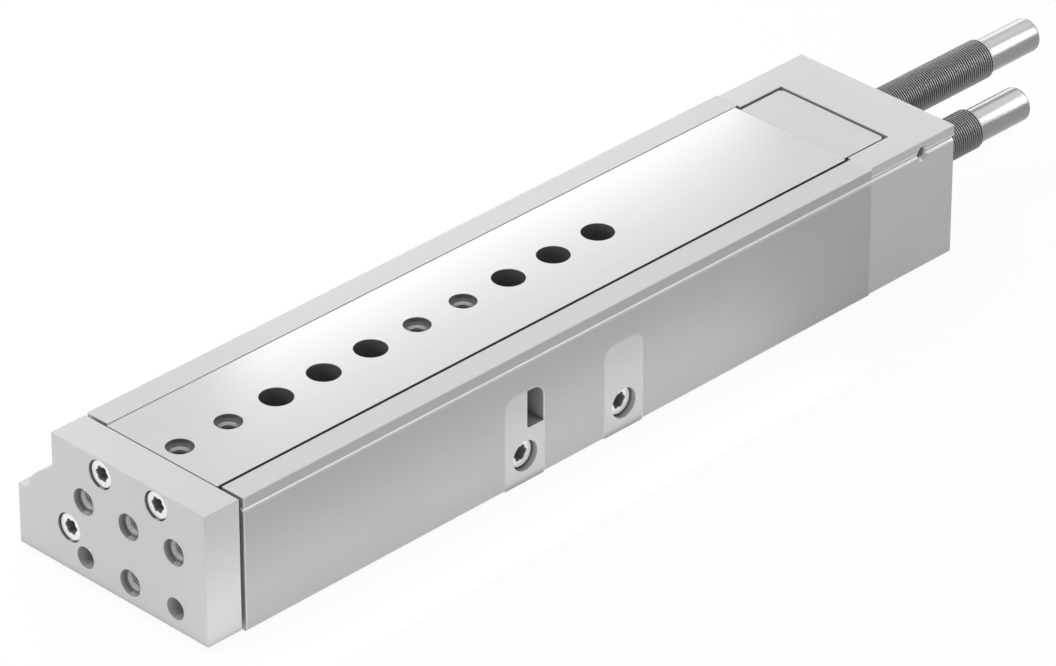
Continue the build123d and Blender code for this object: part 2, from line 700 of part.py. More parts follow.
# Dampers: each sleeve holds a closed tube with a bush, and a plunger with its tip
retract_tip = tail_rear - rest_gap
advance_tip = stop_x - rest_gap - stroke
for word, y, tip_x, sleeve_length in (("retract", retract_y, retract_tip, retract_sleeve_length),
                                      ("advance", advance_y, advance_tip, advance_sleeve_length)):
    sleeve_front = tip_x - plunger_stroke
    sleeve_rear = sleeve_front - sleeve_length
    damper_rear = sleeve_rear - damper_tail
    bush_front = sleeve_front - tip_length - bush_gap
    bush_rear = bush_front - bush_length
    head_front = bush_rear - plunger_head_gap
    bore_rear = sleeve_front - damper_bore_length

    with BuildPart() as stop_sleeve:
        ring(sleeve_rear, sleeve_length, sleeve_radius, damper_radius + sleeve_play, y, sleeve_z)
        rims = stop_sleeve.edges().filter_by(GeomType.CIRCLE).filter_by(
            lambda edge: edge.radius > sleeve_radius - 0.01)
        chamfer(rims, length=edge_break)
    stop_sleeve.part.label = f"{word}_stop_sleeve"
    export_step(stop_sleeve.part, f"parts/{word}_stop_sleeve.step")

    with BuildPart() as damper_body:
        rod(damper_rear, sleeve_front - damper_rear, damper_radius, y, sleeve_z)
        fillet(damper_body.edges().filter_by(GeomType.CIRCLE).sort_by(Axis.X)[0], radius=damper_edge)
        rod(bore_rear, damper_bore_length, damper_bore_radius, y, sleeve_z, mode=Mode.SUBTRACT)
        with BuildSketch(Plane(origin=(damper_rear, y, sleeve_z), z_dir=BACKWARD)):
            RegularPolygon(damper_socket, 6, major_radius=False)
        extrude(amount=-damper_socket_depth, mode=Mode.SUBTRACT)
    damper_body.part.label = f"{word}_damper_body"
    export_step(damper_body.part, f"parts/{word}_damper_body.step")

    with BuildPart() as damper_bush:
        ring(bush_rear, bush_length, damper_bore_radius, plunger_radius + rod_play, y, sleeve_z)
    damper_bush.part.label = f"{word}_damper_bush"
    export_step(damper_bush.part, f"parts/{word}_damper_bush.step")

    with BuildPart() as plunger:
        head_rear = head_front - plunger_head_length
        rod(head_rear, plunger_head_length, damper_bore_radius - rod_play, y, sleeve_z)
        rod(head_front, tip_x - tip_length - head_front, plunger_radius, y, sleeve_z)
    plunger.part.label = f"{word}_plunger"
    export_step(plunger.part, f"parts/{word}_plunger.step")

    with BuildPart() as plunger_tip:
        rod(tip_x - tip_length, tip_length, tip_radius, y, sleeve_z)
        chamfer(plunger_tip.edges().filter_by(GeomType.CIRCLE).sort_by(Axis.X)[-1], length=tip_bevel)
    plunger_tip.part.label = f"{word}_plunger_tip"
    export_step(plunger_tip.part, f"parts/{word}_plunger_tip.step")

tail_room = cage_front - cage_length - table_rear - stroke / 2
print("cage travels from", round(cage_front, 2), "to", round(cage_front + stroke / 2, 2))
print("table passes the cage's rear end at full stroke by", round(tail_room, 2))
print("piston clears the gland at full stroke by", round(gland_rear - piston_front - stroke, 2))
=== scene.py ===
# %% [markdown]
# # A pneumatic slide table
# A light metal body carries a ground steel table on two rows of balls. A yoke plate closes the table's front
# end, and two threaded stop sleeves with bright dampers stand out of the rear. The solids come from the CAD
# frame as they are. This lesson gives them their finishes, cuts the threads that the CAD leaves smooth, and
# sets up the light. Lengths are in metres, and in millimetres where a name or a comment says so.

# %% Load the frame
import json
import math
import bmesh
import bpy
from mathutils import Matrix, Vector


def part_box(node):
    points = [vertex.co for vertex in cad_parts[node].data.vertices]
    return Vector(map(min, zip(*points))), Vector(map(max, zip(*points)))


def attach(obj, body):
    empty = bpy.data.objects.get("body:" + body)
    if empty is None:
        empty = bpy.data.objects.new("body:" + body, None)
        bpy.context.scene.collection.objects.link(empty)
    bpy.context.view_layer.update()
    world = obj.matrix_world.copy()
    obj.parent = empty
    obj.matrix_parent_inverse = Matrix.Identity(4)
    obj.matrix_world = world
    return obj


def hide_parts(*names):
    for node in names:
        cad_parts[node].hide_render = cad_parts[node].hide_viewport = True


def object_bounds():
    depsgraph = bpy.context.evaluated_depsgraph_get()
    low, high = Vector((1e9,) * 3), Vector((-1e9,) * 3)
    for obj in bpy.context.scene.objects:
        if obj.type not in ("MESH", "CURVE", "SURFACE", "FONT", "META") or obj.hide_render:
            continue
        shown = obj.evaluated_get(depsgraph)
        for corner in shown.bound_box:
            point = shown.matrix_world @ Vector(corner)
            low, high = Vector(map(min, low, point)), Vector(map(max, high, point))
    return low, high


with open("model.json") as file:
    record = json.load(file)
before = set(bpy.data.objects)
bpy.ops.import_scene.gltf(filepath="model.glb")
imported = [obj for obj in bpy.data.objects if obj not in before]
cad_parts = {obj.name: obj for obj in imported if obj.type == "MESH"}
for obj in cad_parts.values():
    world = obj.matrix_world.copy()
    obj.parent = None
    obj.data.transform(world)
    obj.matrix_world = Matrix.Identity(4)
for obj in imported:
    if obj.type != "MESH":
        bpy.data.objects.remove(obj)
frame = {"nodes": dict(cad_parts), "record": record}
cad_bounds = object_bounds()
print("CAD box in metres:", [[round(c, 4) for c in corner] for corner in cad_bounds])

# %% [markdown]
# ## Small tools for node trees
# Every finish below is a tree of shader nodes. A few helpers keep the trees short. They add a node with its
# values, join two sockets, feed a node from several sockets, split a vector into its axes, make a grey ramp
# from a list of stops, and open a new node group.

# %% Node helpers
def add_node(tree, kind, values=None, **settings):
    """A new node with its settings, and with constants on its own input sockets."""
    node = tree.nodes.new(kind)
    for name, value in settings.items():
        setattr(node, name, value)
    for socket, value in (values or {}).items():
        node.inputs[socket].default_value = value
    return node


def join(tree, source, target):
    tree.links.new(source, target)


def fed_node(tree, kind, *sources, **settings):
    """The first output of a new node whose inputs are fed by the sources, in their order."""
    node = add_node(tree, kind, **settings)
    for target, source in zip(node.inputs, sources):
        join(tree, source, target)
    return node.outputs[0]


def axes_of(tree, vector):
    """The outputs X, Y and Z of a vector."""
    node = add_node(tree, "ShaderNodeSeparateXYZ")
    join(tree, vector, node.inputs[0])
    return node.outputs


def ramp(tree, factor, stops):
    """A grey that runs through the stops, each of them a place and a grey."""
    node = add_node(tree, "ShaderNodeValToRGB")
    elements = node.color_ramp.elements
    while len(elements) < len(stops):
        elements.new(0.5)
    for element, (place, level) in zip(elements, stops):
        element.position = place
        element.color = (level, level, level, 1.0)
    join(tree, factor, node.inputs[0])
    return node.outputs[0]


def new_group(name, inputs, outputs):
    """A new node group with its entry and its exit. Inputs are label, kind and value."""
    group = bpy.data.node_groups.new(name, "ShaderNodeTree")
    for label, kind, value in inputs:
        socket = group.interface.new_socket(label, in_out="INPUT", socket_type=kind)
        socket.default_value = value
    for label, kind in outputs:
        group.interface.new_socket(label, in_out="OUTPUT", socket_type=kind)
    return group, group.nodes.new("NodeGroupInput"), group.nodes.new("NodeGroupOutput")


print("helpers ready")

# %% [markdown]
# ## Drawn and ground lines
# An extruded profile carries faint lines along its length, and a ground face carries the marks of the wheel.
# Both are noise that is squeezed across the lines and stretched along them. Stretching the coordinates before
# the noise costs nothing and follows the part's own frame, so the lines stay on the metal when it moves.

# %% Node group: metal lines
def metal_lines_group():
    group, entry, leave = new_group(
        "metal_lines",
        [("Stretch", "NodeSocketVector", (1.0, 1.0, 1.0)), ("Fineness", "NodeSocketFloat", 900.0),
         ("Patch Size", "NodeSocketFloat", 30.0)],
        [("Height", "NodeSocketFloat"), ("Lines", "NodeSocketFloat"), ("Patches", "NodeSocketFloat")])
    place = add_node(group, "ShaderNodeTexCoord")
    stretched = fed_node(group, "ShaderNodeVectorMath", place.outputs["Object"], entry.outputs["Stretch"],
                         operation="MULTIPLY")
    lines = add_node(group, "ShaderNodeTexNoise", {"Detail": 4.0, "Roughness": 0.6})
    join(group, stretched, lines.inputs["Vector"])
    join(group, entry.outputs["Fineness"], lines.inputs["Scale"])
    patches = add_node(group, "ShaderNodeTexNoise", {"Detail": 3.0, "Roughness": 0.5})
    join(group, place.outputs["Object"], patches.inputs["Vector"])
    join(group, entry.outputs["Patch Size"], patches.inputs["Scale"])
    join(group, lines.outputs[0], leave.inputs["Height"])
    join(group, ramp(group, lines.outputs[0], [(0.35, 0.0), (0.65, 1.0)]), leave.inputs["Lines"])
    join(group, ramp(group, patches.outputs[0], [(0.3, 0.0), (0.7, 1.0)]), leave.inputs["Patches"])
    return group


metal_lines = metal_lines_group()
print("group", metal_lines.name, "with", len(metal_lines.nodes), "nodes")

# %% [markdown]
# ## Broken edges
# Machined metal has its edges broken. Beside an edge the normal of a rounded copy of the surface turns away
# from the true one; that normal lets the thin bevel catch the light, and the size of the turn is a mask that
# is bright only at edges. The recipe uses the mask for a painted highlight along the edges, and for a painted
# dark line of shade where its gain is below one.

# %% Node group: broken edges
def broken_edges_group():
    group, entry, leave = new_group(
        "broken_edges", [("Width", "NodeSocketFloat", 0.0003)],
        [("Mask", "NodeSocketFloat"), ("Normal", "NodeSocketVector")])
    rounded = add_node(group, "ShaderNodeBevel", samples=4)
    join(group, entry.outputs["Width"], rounded.inputs["Radius"])
    true = add_node(group, "ShaderNodeNewGeometry")
    turn = add_node(group, "ShaderNodeVectorMath", operation="DOT_PRODUCT")
    join(group, rounded.outputs[0], turn.inputs[0])
    join(group, true.outputs["Normal"], turn.inputs[1])
    join(group, ramp(group, turn.outputs["Value"], [(0.8, 1.0), (0.995, 0.0)]), leave.inputs["Mask"])
    join(group, rounded.outputs[0], leave.inputs["Normal"])
    return group


broken_edges = broken_edges_group()
print("group", broken_edges.name, "with", len(broken_edges.nodes), "nodes")

# %% [markdown]
# ## Shaded recesses
# Holes, gaps and thread roots get a darker colour than the open faces: painted shade, as these recesses would
# lie in shade. The ambient occlusion node measures how much of the surroundings a point can see within a
# short reach, and a ramp turns that into a mask. A painted mask would need a picture; this one finds every
# recess by itself.

# %% Node group: shaded recesses
def shaded_recesses_group():
    group, entry, leave = new_group(
        "shaded_recesses", [("Reach", "NodeSocketFloat", 0.004)], [("Mask", "NodeSocketFloat")])
    open_share = add_node(group, "ShaderNodeAmbientOcclusion", samples=8)
    join(group, entry.outputs["Reach"], open_share.inputs["Distance"])
    join(group, ramp(group, open_share.outputs["AO"], [(0.45, 1.0), (0.92, 0.0)]), leave.inputs["Mask"])
    return group


shaded_recesses = shaded_recesses_group()
print("group", shaded_recesses.name, "with", len(shaded_recesses.nodes), "nodes")

# %% [markdown]
# ## Painted light on the top faces
# The faces that look straight up are given a lighter colour than the sides: painted light from above. The
# mask is one where a face looks straight up, and nothing elsewhere. The bodies of this part only slide, so
# what looks up at rest looks up at every pose.

# %% Node group: painted top light
def painted_top_light_group():
    group, entry, leave = new_group(
        "painted_top_light", [("Limit", "NodeSocketFloat", 0.97)], [("Mask", "NodeSocketFloat")])
    surface = add_node(group, "ShaderNodeNewGeometry")
    upward = axes_of(group, surface.outputs["True Normal"])["Z"]
    above = fed_node(group, "ShaderNodeMath", upward, entry.outputs["Limit"], operation="GREATER_THAN")
    join(group, above, leave.inputs["Mask"])
    return group


painted_top_light = painted_top_light_group()
print("group", painted_top_light.name, "with", len(painted_top_light.nodes), "nodes")

# %% [markdown]
# ## A band at one height
# The slim groove under the body's top edge gets a near white line: a painted highlight. The groove runs
# straight along the body, so its height and the side it lies on are enough for a mask. The same mask at the
# table's top tells the ground face from the hardened steel in its holes and on its sides, which is painted
# darker as painted shade.

# %% Node group: height band
def height_band_group():
    group, entry, leave = new_group(
        "height_band",
        [("Height", "NodeSocketFloat", 0.043), ("Half Width", "NodeSocketFloat", 0.0005),
         ("Side", "NodeSocketFloat", 0.033)],
        [("Mask", "NodeSocketFloat")])
    place = add_node(group, "ShaderNodeTexCoord")
    axes = axes_of(group, place.outputs["Object"])
    level = fed_node(group, "ShaderNodeMath", axes["Z"], entry.outputs["Height"],
                     entry.outputs["Half Width"], operation="COMPARE")
    sideways = fed_node(group, "ShaderNodeMath", axes["Y"], operation="ABSOLUTE")
    outside = fed_node(group, "ShaderNodeMath", sideways, entry.outputs["Side"], operation="GREATER_THAN")
    both = fed_node(group, "ShaderNodeMath", level, outside, operation="MULTIPLY")
    join(group, both, leave.inputs["Mask"])
    return group


height_band = height_band_group()
print("group", height_band.name, "with", len(height_band.nodes), "nodes")

# %% [markdown]
# ## Painted shade in the seam between table and yoke
# The table's front end is bevelled where the yoke plate is screwed against it, and the fine seam is painted
# dark: a painted shade in the gap. It lies across the table, so the distance along the table is all that its
# mask needs.

# %% Node group: seam line
def seam_shade_mask_group():
    group, entry, leave = new_group(
        "seam_shade_mask", [("Place", "NodeSocketFloat", 0.0), ("Half Width", "NodeSocketFloat", 0.0005)],
        [("Mask", "NodeSocketFloat")])
    place = add_node(group, "ShaderNodeTexCoord")
    along = axes_of(group, place.outputs["Object"])["X"]
    near = fed_node(group, "ShaderNodeMath", along, entry.outputs["Place"], entry.outputs["Half Width"],
                    operation="COMPARE")
    join(group, near, leave.inputs["Mask"])
    return group


seam_shade_mask = seam_shade_mask_group()
print("group", seam_shade_mask.name, "with", len(seam_shade_mask.nodes), "nodes")

# %% [markdown]
# ## One way to make a metal
# All the metals share one build: a base colour that shifts a little in soft patches, lines that change
# roughness and height, and edges with a painted highlight. What differs is the colour, how far the metal
# scatters, and how the lines run. A recipe in one function keeps the finishes alike where the real ones are
# alike. Each layer covers the ones before it: the metal with painted shade beside its ground face, the
# painted shade in its hollows, the painted light on its top faces, the painted highlight on its edges (a
# painted dark line where the gain is below one), and last the painted highlight in the groove and the painted
# shade in the seam.

# %% Metal recipe
GROOVE_HIGHLIGHT = (0.96, 0.96, 0.95)
SEAM_SHADE = (0.13, 0.13, 0.13)
OFF_TOP_SHADE = 0.55     # painted shade on the hardened steel beside a ground face, in its holes and on its sides, as a share of that face's brightness
WHOLE_WIDTH = -1.0  # a Side below zero, with which the cut line's mask takes in the whole width


def grey(level):
    return (level, level, level)


def shade(colour, amount):
    return tuple(min(1.0, c * amount) for c in colour)


def mixed(tree, factor, first, second):
    """A mix of two colours. Each is a socket or a plain colour."""
    node = add_node(tree, "ShaderNodeMix", data_type="RGBA")
    join(tree, factor, node.inputs["Factor"])
    for socket, colour in ((node.inputs["A"], first), (node.inputs["B"], second)):
        if isinstance(colour, bpy.types.NodeSocket):
            join(tree, colour, socket)
        else:
            socket.default_value = (*colour, 1.0)
    return node.outputs["Result"]


def new_material(name):
    """A new material, its node tree and its Principled shader."""
    material = bpy.data.materials.new(name)
    material.use_nodes = True
    return material, material.node_tree, material.node_tree.nodes["Principled BSDF"]


def lay_marks(tree, surface, marks, roughness, spread, strength, depth, normal=None):
    """The marks change the roughness by spread each way, and their height is bump over the normal."""
    rough = add_node(tree, "ShaderNodeMapRange", {"To Min": roughness - spread, "To Max": roughness + spread})
    join(tree, marks.outputs["Lines"], rough.inputs["Value"])
    join(tree, rough.outputs[0], surface.inputs["Roughness"])
    bump = add_node(tree, "ShaderNodeBump", {"Strength": strength, "Distance": depth})
    join(tree, marks.outputs["Height"], bump.inputs["Height"])
    if normal is not None:
        join(tree, normal, bump.inputs["Normal"])
    join(tree, bump.outputs[0], surface.inputs["Normal"])


def make_metal(name, colour, metallic, roughness, stretch, fineness=900.0, lines=0.06, patches=0.03,
               depth=0.00001, edge=0.0003, painted_edge_gain=1.25, reach=0.004, hollow_shade=0.35, top_light=None,
               ground=None, groove_highlight=None, seam_shade=None):
    """One metal. Top light is painted light on its upward faces; ground, groove highlight and seam shade are
    each a place and a half width.
    """
    material, tree, surface = new_material(name)
    surface.inputs["Metallic"].default_value = metallic
    marks = add_node(tree, "ShaderNodeGroup", node_tree=metal_lines)
    marks.inputs["Stretch"].default_value = stretch
    marks.inputs["Fineness"].default_value = fineness
    edges = add_node(tree, "ShaderNodeGroup", node_tree=broken_edges)
    edges.inputs["Width"].default_value = edge
    hollows = add_node(tree, "ShaderNodeGroup", node_tree=shaded_recesses)
    hollows.inputs["Reach"].default_value = reach
    base = mixed(tree, marks.outputs["Patches"], shade(colour, 1.0 - patches), shade(colour, 1.0 + patches))
    # Painted shade: all but the ground face take a darker share of the colour, above all the holes' walls.
    if ground:
        face = add_node(tree, "ShaderNodeGroup", node_tree=height_band)
        face.inputs["Height"].default_value, face.inputs["Half Width"].default_value = ground
        face.inputs["Side"].default_value = WHOLE_WIDTH
        base = mixed(tree, face.outputs["Mask"], shade(colour, OFF_TOP_SHADE), base)
    # Painted shade: recesses that the mask finds take a darker share of the colour.
    base = mixed(tree, hollows.outputs["Mask"], base, shade(colour, hollow_shade))
    # Painted light from above: faces that look up take the lighter top colour.
    if top_light:
        tops = add_node(tree, "ShaderNodeGroup", node_tree=painted_top_light)
        base = mixed(tree, tops.outputs["Mask"], base, top_light)
    # Painted highlight along the edges, and a painted dark line of shade where the gain is below one.
    base = mixed(tree, edges.outputs["Mask"], base, shade(top_light or colour, painted_edge_gain))
    # Painted highlight: a near white line along the groove.
    if groove_highlight:
        line = add_node(tree, "ShaderNodeGroup", node_tree=height_band)
        line.inputs["Height"].default_value, line.inputs["Half Width"].default_value = groove_highlight
        base = mixed(tree, line.outputs["Mask"], base, GROOVE_HIGHLIGHT)
    # Painted shade: a dark line in the seam between table and yoke.
    if seam_shade:
        line = add_node(tree, "ShaderNodeGroup", node_tree=seam_shade_mask)
        line.inputs["Place"].default_value, line.inputs["Half Width"].default_value = seam_shade
        base = mixed(tree, line.outputs["Mask"], base, SEAM_SHADE)
    join(tree, base, surface.inputs["Base Color"])
    lay_marks(tree, surface, marks, roughness, spread=lines, strength=0.5, depth=depth,
              normal=edges.outputs["Normal"])
    return material


print("metal recipe ready")

# %% [markdown]
# ## The metals of this slide table
# The body, cap, inserts and plates are light metal, blasted and clear anodised, which scatters light almost
# like paint. The cap is cast from another alloy and comes out a little lighter. The table is ground steel.
# The sleeves are blackened steel, the dampers polished, the screws zinc plated. Threads cut into the holes
# and the sockets of the screws have their own metals; those in the table's holes and in the sockets are dark,
# a painted shade for the inside of a hole.

# %% Metals
ALONG, ACROSS, EVEN = (0.02, 1.0, 1.0), (1.0, 0.02, 1.0), (1.0, 1.0, 1.0)  # how the lines are stretched
table_front, table_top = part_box("slide_table")[1].x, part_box("slide_table")[1].z
# Each metal: name, colour, metallic, roughness, stretch, and then what differs from the recipe.
# Top light is painted light from above; a painted edge gain above one paints edge highlights, below one a
# dark line of painted shade; hollow shade is painted shade in recesses.
finishes = {
    "body_aluminium": make_metal(
        "anodised_body", grey(0.39), 0.35, 0.42, ALONG, lines=0.04, patches=0.02, depth=0.000004,
        edge=0.0008, painted_edge_gain=1.5, reach=0.0008, hollow_shade=0.5, top_light=(0.585, 0.59, 0.605),
        groove_highlight=(0.0431, 0.00055)),
    "cap_aluminium": make_metal(
        "anodised_cap", grey(0.50), 0.35, 0.42, ALONG, lines=0.04, patches=0.02, depth=0.000004,
        edge=0.0005, painted_edge_gain=1.2, reach=0.0008, hollow_shade=0.5, top_light=(0.61, 0.615, 0.62),
        groove_highlight=(0.0430, 0.0011)),
    "plate_aluminium": make_metal(
        "anodised_plate", grey(0.53), 0.30, 0.45, EVEN, fineness=1500.0, patches=0.01, depth=0.000004,
        edge=0.00015, painted_edge_gain=0.9, reach=0.005, hollow_shade=0.22, top_light=grey(0.60)),
    "insert_aluminium": make_metal(
        "anodised_insert", grey(0.485), 0.30, 0.45, EVEN, fineness=1500.0, patches=0.02, depth=0.000004,
        edge=0.0001, painted_edge_gain=1.0, hollow_shade=0.30),
    "ground_steel": make_metal(
        "ground_steel", grey(0.75), 0.80, 0.25, ALONG, lines=0.02, patches=0.01, depth=0.000001,
        painted_edge_gain=0.45, reach=0.006, hollow_shade=0.38, ground=(table_top, 0.0002), seam_shade=(table_front, 0.0005)),
    "rail_steel": make_metal("rail_steel", (0.62, 0.63, 0.64), 0.9, 0.30, ALONG),
    "screw_steel": make_metal(
        "zinc_plated_steel", grey(0.85), 0.5, 0.38, EVEN, edge=0.0002, painted_edge_gain=1.1, reach=0.001,
        hollow_shade=0.20),
    "sleeve_steel": make_metal(
        "blackened_steel", (0.34, 0.34, 0.345), 0.80, 0.42, EVEN, edge=0.0001, painted_edge_gain=1.0, reach=0.0008,
        hollow_shade=0.40),
    "damper_steel": make_metal(
        "polished_steel", (0.26, 0.263, 0.267), 1.0, 0.26, ALONG, lines=0.01, patches=0.01, depth=0.0,
        painted_edge_gain=1.8),
    "rod_steel": make_metal("chromed_rod", (0.80, 0.80, 0.81), 1.0, 0.12, ACROSS, lines=0.03, depth=0.000002),
    "inner_aluminium": make_metal("turned_aluminium", (0.70, 0.71, 0.72), 0.9, 0.30, ACROSS),
    "ball_steel": make_metal(
        "bearing_balls", (0.82, 0.82, 0.83), 1.0, 0.10, EVEN, lines=0.02, depth=0.000001, reach=0.001),
    "bush_brass": make_metal("turned_bush", (0.72, 0.55, 0.26), 1.0, 0.26, ACROSS),
    "magnet_iron": make_metal("sintered_magnet", (0.10, 0.10, 0.11), 0.6, 0.55, EVEN, depth=0.00003),
}
cut_thread = make_metal("cut_thread", grey(0.42), 0.4, 0.40, EVEN, edge=0.00002, reach=0.0005, hollow_shade=0.7)
# Painted shade: the threads in the table's holes and the screws' sockets are dark, as the inside of a hole
# is.
shaded_thread = make_metal(
    "shaded_thread", (0.12, 0.123, 0.126), 0.6, 0.40, EVEN, edge=0.00002, reach=0.001, hollow_shade=0.6)
shaded_socket = make_metal("shaded_socket", grey(0.32), 0.6, 0.35, EVEN, edge=0.0001, reach=0.002, hollow_shade=0.6)
print(len(finishes), "metals:", ", ".join(sorted(m.name for m in finishes.values())))

# %% [markdown]
# ## Rubber and plastic
# The seals are rubber with a faint moulded bloom, and the cages and damper tips are moulded plastic with a
# fine grain. They are hardly seen, but each has its own grain and gloss, so a close look through the window
# still holds up.

# %% Rubber and plastic
def make_moulded(name, colour, roughness, grain, depth, patches=0.15):
    """A rubber or a plastic with its grain and with soft darker and lighter patches."""
    material, tree, surface = new_material(name)
    marks = add_node(tree, "ShaderNodeGroup", node_tree=metal_lines)
    marks.inputs["Fineness"].default_value = grain
    marks.inputs["Patch Size"].default_value = 120.0
    base = mixed(tree, marks.outputs["Patches"], shade(colour, 1.0 - patches), shade(colour, 1.0 + patches))
    join(tree, base, surface.inputs["Base Color"])
    lay_marks(tree, surface, marks, roughness, spread=0.06, strength=0.6, depth=depth)
    return material


finishes["seal_rubber"] = make_moulded("seal_rubber", (0.03, 0.03, 0.032), 0.55, 2500.0, 0.00003)
finishes["cage_plastic"] = make_moulded("cage_plastic", (0.11, 0.11, 0.12), 0.45, 1800.0, 0.00002)
finishes["tip_plastic"] = make_moulded("tip_plastic", (0.80, 0.79, 0.75), 0.40, 1800.0, 0.00001)
print(len(finishes), "finishes in all")

# %% [markdown]
# ## Finishes on the solids
# The frame already holds every solid at its place. Each one names a material slot in its record, so a loop
# can hand out the finishes, and no solid is left plain. Only the cap, which shares the body's slot, gets the
# finish of its own alloy.

# %% Give every solid its finish
slots = {part["node"]: part["material_slot"] for part in frame["record"]["subparts"]}
for node, solid in frame["nodes"].items():
    solid.data.materials.clear()
    solid.data.materials.append(finishes["cap_aluminium" if node == "rear_cap" else slots[node]])
print("finished", len(slots), "solids")

# %% [markdown]
# ## Threads as real mesh
# The stop sleeves have a fine thread of 1 mm pitch over their whole length, the mounting holes have M6
# threads, and the ports have G1/8 threads. A bump map would leave the outline smooth, and the outline is
# where a thread shows. So a thread is mesh: rings of points that climb by one pitch per turn, pulled out to
# the crest or in to the root, and run out at the ends. The same function makes an outside and an inside
# thread: only the side on which the ridges stand differs. At both ends each edge of the thread's rim is
# joined to the nearest corners of the plain wall, which closes the tube.

# %% Thread mesh
MM = 0.001
TINY = 0.000001  # points nearer to each other than this are one point
# Over one pitch: the place as a share of the pitch, and the rise as a share of the ridge
THREAD_PROFILE = [(0.0, 0.0), (0.16, 0.0), (0.40, 1.0), (0.60, 1.0), (0.84, 0.0)]


def circle_points(work, radius, height, slices):
    """A round ring of points about the axis, at a height."""
    return [work.verts.new((radius * math.cos(2 * math.pi * s / slices),
                            radius * math.sin(2 * math.pi * s / slices), height)) for s in range(slices)]


def bridge(work, lower, upper):
    """A band of faces between two closed rings with the same number of points."""
    for step in range(len(lower)):
        after = (step + 1) % len(lower)
        work.faces.new((lower[step], lower[after], upper[after], upper[step]))


def threaded_tube(work, length, root, ridge, smooth, pitch, slices):
    """A tube from the origin down to -length, with a thread on one side and a smooth wall on the other.

    The ridges stand out of the root by ridge, or in if that is below zero.
    """
    turns = math.ceil(length / pitch) + 1
    rings = []
    for turn in range(-1, turns):
        for share, rise in THREAD_PROFILE:
            ring = []
            for step in range(slices + 1):
                depth = min(max(pitch * (turn + share + step / slices), 0.0), length)
                run_out = min(1.0, min(depth, length - depth) / abs(ridge))
                radius = root + ridge * rise * run_out
                angle = 2 * math.pi * step / slices
                ring.append(work.verts.new((radius * math.cos(angle), radius * math.sin(angle), -depth)))
            rings.append(ring)
    for low, high in zip(rings, rings[1:]):
        for step in range(slices):
            work.faces.new((low[step], low[step + 1], high[step + 1], high[step]))
    bmesh.ops.remove_doubles(work, verts=work.verts, dist=TINY)
    bmesh.ops.dissolve_degenerate(work, dist=TINY, edges=work.edges)
    rims = [edge for edge in work.edges if len(edge.link_faces) == 1]
    ends = (0.0, -length)
    wall = [circle_points(work, smooth, height, slices) for height in ends]
    bridge(work, *wall)
    for height, ring in zip(ends, wall):
        for edge in rims:
            first, second = edge.verts
            if abs(first.co.z - height) < 2 * TINY and abs(second.co.z - height) < 2 * TINY:
                facing = [min(ring, key=lambda point: (point.co - corner.co).length)
                          for corner in (second, first)]
                work.faces.new((first, second, *facing))
    bmesh.ops.recalc_face_normals(work, faces=work.faces)


print("thread tools ready")

# %% [markdown]
# ## From a mesh to pieces on the part
# A thread or a screw is made once, at the origin and looking up. Each copy is then moved to its place, and
# all the copies of one kind are one piece, which rides on its body and takes the finish of its slot unless it
# is given another.

# %% Pieces from meshes
FORWARD, BACKWARD, RIGHT, LEFT, UP, DOWN = (
    (1, 0, 0), (-1, 0, 0), (0, 1, 0), (0, -1, 0), (0, 0, 1), (0, 0, -1))


def turned_to(place, direction):
    """The move that takes a piece from the origin to a place in millimetres, looking in a direction."""
    turn = Vector(direction).to_track_quat("Z", "Y").to_matrix().to_4x4()
    return Matrix.Translation(Vector(place) * MM) @ turn


def smooth_faces(mesh, limit):
    """Smooth shading, but edges that turn by more than the limit in degrees stay sharp."""
    for face in mesh.polygons:
        face.use_smooth = True
    mesh.set_sharp_from_angle(angle=math.radians(limit))


def piece_from(work, name, slot, moves, body, limit=40.0, finish=None):
    """One object from copies of what a bmesh holds, one copy for each move."""
    single = bpy.data.meshes.new(name + "_one")
    work.to_mesh(single)
    work.free()
    whole = bmesh.new()
    for move in moves:
        copy = single.copy()
        copy.transform(move)
        whole.from_mesh(copy)
        bpy.data.meshes.remove(copy)
    bpy.data.meshes.remove(single)
    mesh = bpy.data.meshes.new(name)
    whole.to_mesh(mesh)
    whole.free()
    smooth_faces(mesh, limit)
    mesh.materials.append(finish or finishes[slot])
    piece = bpy.data.objects.new(name, mesh)
    bpy.context.scene.collection.objects.link(piece)
    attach(piece, body)
    return piece


print("piece tools ready")

# %% [markdown]
# ## The two stop sleeves
# Each sleeve is a tube with an M14 x 1 thread outside. It stands exactly where the CAD's smooth sleeve is,
# which stays in the simulation and is hidden here.

# %% Stop sleeves
SLEEVE_ROOT, SLEEVE_RIDGE, SLEEVE_BORE, SLEEVE_PITCH = 0.0064, 0.00059, 0.00605, 0.001
for word, body in (("retract", "housing"), ("advance", "table")):
    node = word + "_stop_sleeve"
    low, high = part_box(node)
    tube = bmesh.new()
    threaded_tube(tube, high.x - low.x, SLEEVE_ROOT, SLEEVE_RIDGE, SLEEVE_BORE, SLEEVE_PITCH, slices=64)
    middle = (low.x / MM, (low.y + high.y) / 2 / MM, (low.z + high.z) / 2 / MM)
    sleeve = piece_from(tube, word + "_sleeve_thread", "sleeve_steel", [turned_to(middle, BACKWARD)], body)
    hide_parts(node)
    print(sleeve.name, len(sleeve.data.polygons), "faces,", round((high.x - low.x) / MM, 1), "mm long")

# %% [markdown]
# ## Threads in the mounting holes
# The CAD drills each thread at tapping size. A thin threaded lining gives the ridges that sparkle in the
# picture. It starts under the bevel of each mouth, and its ridges stand about 0.3 mm in from the wall.

